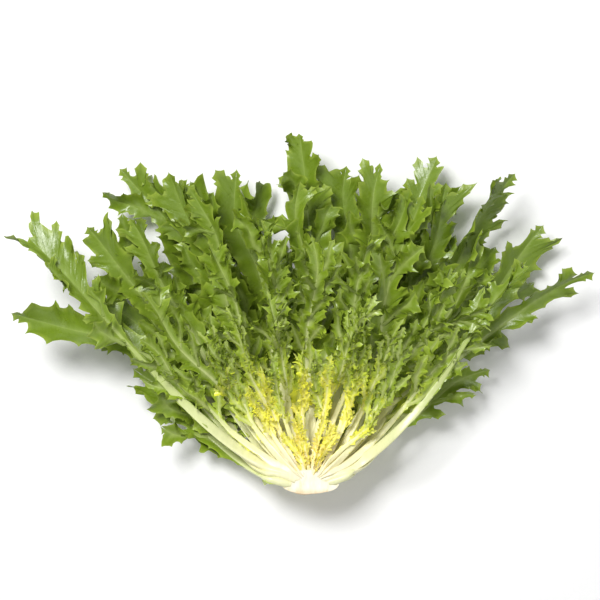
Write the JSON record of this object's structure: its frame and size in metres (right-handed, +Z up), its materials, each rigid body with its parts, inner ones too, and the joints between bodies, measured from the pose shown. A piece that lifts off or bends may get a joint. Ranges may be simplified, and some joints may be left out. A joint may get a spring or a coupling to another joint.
{
  "type": "curly endive head, halved",
  "caption": "Half a curly endive head, cut lengthwise through its core and lying cut face up, its frilled leaves fanned out from the white core.",
  "frame": {"origin": "middle of the bottom of the head's box, on the surface that it lies on", "axes": "+Y from the cut foot of the core to the leaf tips, +X across the fan of leaves, +Z up, out of the cut face"},
  "size_m": [0.3416, 0.209, 0.0606],
  "materials": {
    "core": "satin",
    "outer_leaf": "satin",
    "second_leaf": "satin",
    "third_leaf": "satin",
    "fourth_leaf": "satin",
    "fifth_leaf": "satin",
    "inner_leaf": "satin",
    "heart_leaf": "satin"
  },
  "bodies": {
    "root": {"core": "core", "outer_leaf_1": "outer_leaf", "outer_leaf_2": "outer_leaf", "outer_leaf_3": "outer_leaf", "outer_leaf_4": "outer_leaf", "outer_leaf_5": "outer_leaf", "outer_leaf_6": "outer_leaf", "outer_leaf_7": "outer_leaf", "outer_leaf_8": "outer_leaf", "second_leaf_1": "second_leaf", "second_leaf_2": "second_leaf", "second_leaf_3": "second_leaf", "second_leaf_4": "second_leaf", "second_leaf_5": "second_leaf", "second_leaf_6": "second_leaf", "second_leaf_7": "second_leaf", "second_leaf_8": "second_leaf", "second_leaf_9": "second_leaf", "third_leaf_1": "third_leaf", "third_leaf_2": "third_leaf", "third_leaf_3": "third_leaf", "third_leaf_4": "third_leaf", "third_leaf_5": "third_leaf", "third_leaf_6": "third_leaf", "third_leaf_7": "third_leaf", "third_leaf_8": "third_leaf", "third_leaf_9": "third_leaf", "fourth_leaf_1": "fourth_leaf", "fourth_leaf_2": "fourth_leaf", "fourth_leaf_3": "fourth_leaf", "fourth_leaf_4": "fourth_leaf", "fourth_leaf_5": "fourth_leaf", "fourth_leaf_6": "fourth_leaf", "fourth_leaf_7": "fourth_leaf", "fourth_leaf_8": "fourth_leaf", "fourth_leaf_9": "fourth_leaf", "fifth_leaf_1": "fifth_leaf", "fifth_leaf_2": "fifth_leaf", "fifth_leaf_3": "fifth_leaf", "fifth_leaf_4": "fifth_leaf", "fifth_leaf_5": "fifth_leaf", "fifth_leaf_6": "fifth_leaf", "fifth_leaf_7": "fifth_leaf", "fifth_leaf_8": "fifth_leaf", "fifth_leaf_9": "fifth_leaf", "inner_leaf_1": "inner_leaf", "inner_leaf_2": "inner_leaf", "inner_leaf_3": "inner_leaf", "inner_leaf_4": "inner_leaf", "inner_leaf_5": "inner_leaf", "inner_leaf_6": "inner_leaf", "inner_leaf_7": "inner_leaf", "inner_leaf_8": "inner_leaf", "heart_leaf_1": "heart_leaf", "heart_leaf_2": "heart_leaf", "heart_leaf_3": "heart_leaf", "heart_leaf_4": "heart_leaf", "heart_leaf_5": "heart_leaf", "heart_leaf_6": "heart_leaf"}
  },
  "joints": []
}
